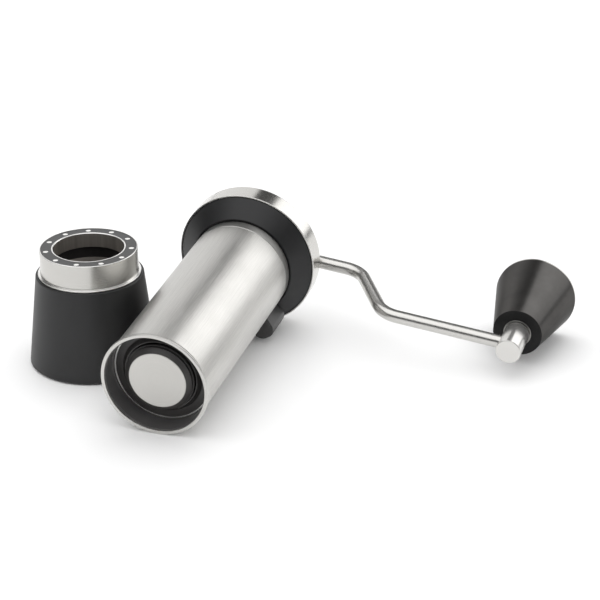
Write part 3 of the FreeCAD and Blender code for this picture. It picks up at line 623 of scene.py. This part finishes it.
# ----------------------------------------------------------------------------------------------------------
# The knob
# ----------------------------------------------------------------------------------------------------------
grip = measure("knob_grip", KNOB)
bush = measure("knob_bush", KNOB)
cap = measure("knob_cap", KNOB)
KNOB_SMALL = 13.4
KNOB_END_SHADE_BAND = 0.2
CAVITY = 9.0
CAVITY_FOOT = 167.9
BUSH_BODY = 6.0
FLANGE_THICK = 1.9
flange_back = bush.foot + FLANGE_THICK
grip_piece = lathe("grip", KNOB, [
    (bush.out, grip.foot, 0.15), (KNOB_SMALL, grip.foot, 0.35), (grip.out, grip.top, 0.5), (CAVITY, grip.top),
    (CAVITY, CAVITY_FOOT), (BUSH_BODY, CAVITY_FOOT), (BUSH_BODY, flange_back), (bush.out, flange_back)],
    knob_black, "knob", ["knob_grip"])
# Painted shade: the knob's small end face in the darker, duller black.
second_look(grip_piece, KNOB, knob_end_painted_shade, lambda radius, height: height < grip.foot + KNOB_END_SHADE_BAND)

RECESS_DEEP = 1.0
RECESS_GAP = 0.35
recess_out = pin.out + RECESS_GAP
recess_bottom = bush.foot + RECESS_DEEP
lathe("bush", KNOB, [
    (bush.bore, recess_bottom), (recess_out, recess_bottom), (recess_out, bush.foot, 0.1),
    (bush.out, bush.foot, 0.2), (bush.out, flange_back), (BUSH_BODY, flange_back), (BUSH_BODY, bush.top),
    (bush.bore, bush.top)],
    bush_steel, "knob", ["knob_bush"], around=96)

CAP_EDGE = 1.2
CAP_SLOPE = 0.3
CAP_DISH = 0.2
lathe("end_cap", KNOB, [
    (0, cap.foot), (cap.out, cap.foot), (cap.out, cap.top, 0.4), (cap.out - CAP_EDGE, cap.top, 0.1),
    (cap.out - CAP_EDGE - CAP_SLOPE, cap.top - CAP_DISH), (0, cap.top - CAP_DISH)],
    face_steel, "knob", ["knob_cap"])


# ----------------------------------------------------------------------------------------------------------
# The catch cup
# ----------------------------------------------------------------------------------------------------------
sleeve = measure("cup_sleeve", CUP)
foot_ring = measure("cup_foot_ring", CUP)
steel_collar = measure("cup_collar", CUP)
magnet_ring = measure("magnet_ring", CUP)
SHOULDER = 29.2
CUP_MOUTH = 25.9
COLLAR_FOOT = 45.0
WELL = 30.4
WELL_FLOOR = 3.0
lathe("sleeve", CUP, [
    (0, foot_ring.top), (foot_ring.out, foot_ring.top), (foot_ring.out, sleeve.foot),
    (sleeve.out, sleeve.foot, 1.4), (SHOULDER, sleeve.top, 0.5), (CUP_MOUTH, sleeve.top),
    (CUP_MOUTH, COLLAR_FOOT), (WELL, WELL_FLOOR, 0.5), (0, WELL_FLOOR)],
    cup_black, "cup", ["cup_sleeve"])
lathe("foot_pad", CUP, [
    (foot_ring.bore, 0, 0.3), (foot_ring.out, 0, 0.3), (foot_ring.out, foot_ring.top),
    (foot_ring.bore, foot_ring.top)],
    rubber, "cup", ["cup_foot_ring"])

COLLAR_UNDER = 24.6
COLLAR_BORE_FOOT = 57.6
# UNDER_EDGE is where the painted shade under the bore ends and the painted patch of light below it begins.
UNDER_EDGE = 49.3  # where the dark hollow under the bore ends
NECK_LIP = 27.9
NECK_LIP_TOP = 52.3
CUP_NECK = 26.45
neck_piece = lathe("steel_neck", CUP, [
    (COLLAR_UNDER, COLLAR_FOOT), (CUP_MOUTH, COLLAR_FOOT), (CUP_MOUTH, sleeve.top),
    (NECK_LIP, sleeve.top, 0.2), (NECK_LIP, NECK_LIP_TOP, 0.4), (CUP_NECK, NECK_LIP_TOP, 0.2),
    (CUP_NECK, steel_collar.top, 0.45), (magnet_ring.out, steel_collar.top, 0.1),
    (magnet_ring.out, magnet_ring.foot), (magnet_ring.bore, magnet_ring.foot),
    (magnet_ring.bore, steel_collar.top, 0.1), (steel_collar.bore, steel_collar.top, 0.45),
    (steel_collar.bore, COLLAR_BORE_FOOT, 0.3), (COLLAR_UNDER, COLLAR_BORE_FOOT), (COLLAR_UNDER, UNDER_EDGE)],
    cup_steel, "cup", ["cup_collar"])

BORE_BAND = 0.5
HIGHLIGHT_BAND = 0.3
HOLLOW_BAND = 0.2
WALL_BAND = 0.1


def in_bore(radius, height):
    """The wall of the steel collar's bore, where a darker, browner steel paints the shade."""
    return radius < steel_collar.bore + BORE_BAND and height < steel_collar.top - BORE_BAND


def under_bore(radius, height):
    """The hollow under the bore: its steel faces are drawn in black satin, which paints the shade there."""
    return (steel_collar.bore + BORE_BAND < radius < CUP_MOUTH - BORE_BAND
            and UNDER_EDGE < height < COLLAR_BORE_FOOT + HOLLOW_BAND)


def on_edges(radius, height):
    """The collar's top and the lip above the sleeve, where the brighter steel paints highlights."""
    return height > steel_collar.top - HIGHLIGHT_BAND or abs(height - NECK_LIP_TOP) < HIGHLIGHT_BAND


def below_hollow(radius, height):
    """The collar's inner wall below the hollow, where a pale diffuse colour paints the patch of light seen
    there.
    """
    return radius < COLLAR_UNDER + WALL_BAND and height < UNDER_EDGE


second_look(neck_piece, CUP, shaded_bore_steel, in_bore)
second_look(neck_piece, CUP, black_satin_and_painted_shade, under_bore)
second_look(neck_piece, CUP, highlight_steel, on_edges)
second_look(neck_piece, CUP, painted_light_patch, below_hollow)


# ----------------------------------------------------------------------------------------------------------
# The CAD nodes that keep their own shape get their materials; those not named here, the magnets, are nickel
# ----------------------------------------------------------------------------------------------------------
CAD_LOOKS = {
    "outer_burr": burr_steel, "inner_burr": burr_steel, "bean_breaker": burr_steel,
    "throat_cone": black_satin_and_painted_shade, "lower_bush": bronze, "bearing_cage": bronze,
    "lower_spider": alloy, "top_bridge": alloy, "cup_floor_plate": alloy,
    "bridge_screw_1": face_steel, "bridge_screw_2": face_steel, "bridge_screw_3": face_steel,
    "lift_sleeve": face_steel, "drive_shaft": face_steel, "shaft_clip": face_steel, "arm_grub": face_steel,
    "bearing_outer": face_steel, "bearing_inner": face_steel, "knob_nut": face_steel,
    "adjust_dial": collar_black, "lid_insert": collar_black, "magnet_ring": ring_grey,
}
for name, node in NODES.items():
    node.data.materials.clear()
    node.data.materials.append(CAD_LOOKS.get(name, nickel))


# ----------------------------------------------------------------------------------------------------------
# Floor, light and camera, in metres
# ----------------------------------------------------------------------------------------------------------
FLOOR_HALF = 6.0
FLOOR_WHITE = (0.92, 0.92, 0.92, 1)
FAR_GLOW = 0.35
GLOW_STARTS = 0.3
GLOW_FULL = 1.2


def stage_floor():
    """A white floor that glows a little far away, so that it runs into the background."""
    mesh = bpy.data.meshes.new("floor")
    square = [(-FLOOR_HALF, -FLOOR_HALF, 0), (FLOOR_HALF, -FLOOR_HALF, 0), (FLOOR_HALF, FLOOR_HALF, 0),
              (-FLOOR_HALF, FLOOR_HALF, 0)]
    mesh.from_pydata(square, [], [(0, 1, 2, 3)])
    look = Nodes("floor_white")
    distance = look.add("VectorMath", {"operation": "LENGTH"})
    look.set(distance, "0", look.add("TexCoord").outputs["Object"])
    lift = look.ramp(distance.outputs["Value"], GLOW_STARTS, GLOW_FULL, 0.0, FAR_GLOW)
    mesh.materials.append(look.use(Base_Color=FLOOR_WHITE, Roughness=0.6, Emission_Strength=lift,
                                   Emission_Color=(1, 1, 1, 1)))
    floor = bpy.data.objects.new("floor", mesh)
    bpy.context.scene.collection.objects.link(floor)


def studio_world(seen, reflected, fill):
    """A room whose strength differs for the camera, for reflections and for the light that it sheds."""
    world = bpy.data.worlds.new("studio")
    bpy.context.scene.world = world
    world.use_nodes = True
    tree = world.node_tree
    path = tree.nodes.new("ShaderNodeLightPath")
    by_gloss = tree.nodes.new("ShaderNodeMapRange")
    by_gloss.inputs["To Min"].default_value = fill
    by_gloss.inputs["To Max"].default_value = reflected
    by_camera = tree.nodes.new("ShaderNodeMapRange")
    by_camera.inputs["To Max"].default_value = seen
    tree.links.new(path.outputs["Is Glossy Ray"], by_gloss.inputs["Value"])
    tree.links.new(path.outputs["Is Camera Ray"], by_camera.inputs["Value"])
    tree.links.new(by_gloss.outputs["Result"], by_camera.inputs["To Min"])
    tree.links.new(by_camera.outputs["Result"], tree.nodes["Background"].inputs["Strength"])
    tree.nodes["Background"].inputs["Color"].default_value = (1, 1, 1, 1)


def area_light(name, place, across, up, glow):
    """A soft rectangular light that looks straight down; glow is how bright its face is."""
    data = bpy.data.lights.new(name, "AREA")
    data.shape = "RECTANGLE"
    data.size = across
    data.size_y = up
    data.energy = glow * math.pi * across * up
    lamp = bpy.data.objects.new(name, data)
    bpy.context.scene.collection.objects.link(lamp)
    lamp.location = place
    return lamp


def softbox(name, low, high, depth, glow):
    """An upright light behind the object, seen only in reflections, from one corner to the other."""
    place = ((low[0] + high[0]) / 2, depth, (low[1] + high[1]) / 2)
    lamp = area_light(name, place, high[0] - low[0], high[1] - low[1], glow)
    lamp.rotation_euler = Vector((0, -1, 0)).to_track_quat("-Z", "Y").to_euler()
    lamp.visible_diffuse = False


def overhead(name, place, size, glow, mirrored):
    """A square light that looks straight down: either only seen in reflections, or only shedding light."""
    lamp = area_light(name, place, size, size, glow)
    lamp.visible_glossy = mirrored
    lamp.visible_diffuse = not mirrored


def side_fill(name, place, aim, size, glow, spread=180):
    """A low square light that only sheds light, within its spread in degrees, to open the shadows."""
    lamp = area_light(name, place, size, size, glow)
    lamp.data.spread = math.radians(spread)
    lamp.rotation_euler = (Vector(aim) - Vector(place)).to_track_quat("-Z", "Y").to_euler()
    lamp.visible_glossy = False


stage_floor()
studio_world(seen=1.0, reflected=0.08, fill=0.85)
softbox("right_box", low=(0.16, 0.14), high=(1.5, 1.9), depth=0.96, glow=1.8)
softbox("left_box", low=(-1.3, 0.08), high=(-0.23, 1.05), depth=0.96, glow=1.03)
overhead("top_box", place=(-0.4, 0.3, 1.2), size=2.0, glow=0.88, mirrored=False)
overhead("front_box", place=(-0.3, -0.6, 1.3), size=2.2, glow=1.5, mirrored=True)
side_fill("right_fill", place=(1.2, -0.35, 0.4), aim=(0.05, 0.0, 0.0), size=0.9, glow=0.35)
side_fill("knob_fill", place=(0.55, -0.35, 0.35), aim=(0.13, 0.0, 0.0), size=0.3, glow=0.16, spread=40)
side_fill("cup_fill", place=(-0.6, -0.45, 0.35), aim=(-0.14, -0.05, 0.0), size=0.3, glow=0.09, spread=36)

CAMERA_PLACE = Vector((0.35845, -1.03568, 0.54993))
CAMERA_YAW = math.radians(18.627)
CAMERA_DIP = math.radians(24.846)
CAMERA_ROLL = math.radians(-0.656)
CAMERA_LENS = 136.06
CAMERA_SENSOR = 36
camera = bpy.data.objects.new("camera", bpy.data.cameras.new("camera"))
bpy.context.scene.collection.objects.link(camera)
bpy.context.scene.camera = camera
camera.data.sensor_width = CAMERA_SENSOR
camera.data.lens = CAMERA_LENS
camera.location = CAMERA_PLACE
camera.rotation_euler = (Matrix.Rotation(CAMERA_YAW, 3, "Z")
                         @ Matrix.Rotation(math.pi / 2 - CAMERA_DIP, 3, "X")
                         @ Matrix.Rotation(CAMERA_ROLL, 3, "Z")).to_euler()
bpy.context.scene.view_settings.view_transform = "Standard"
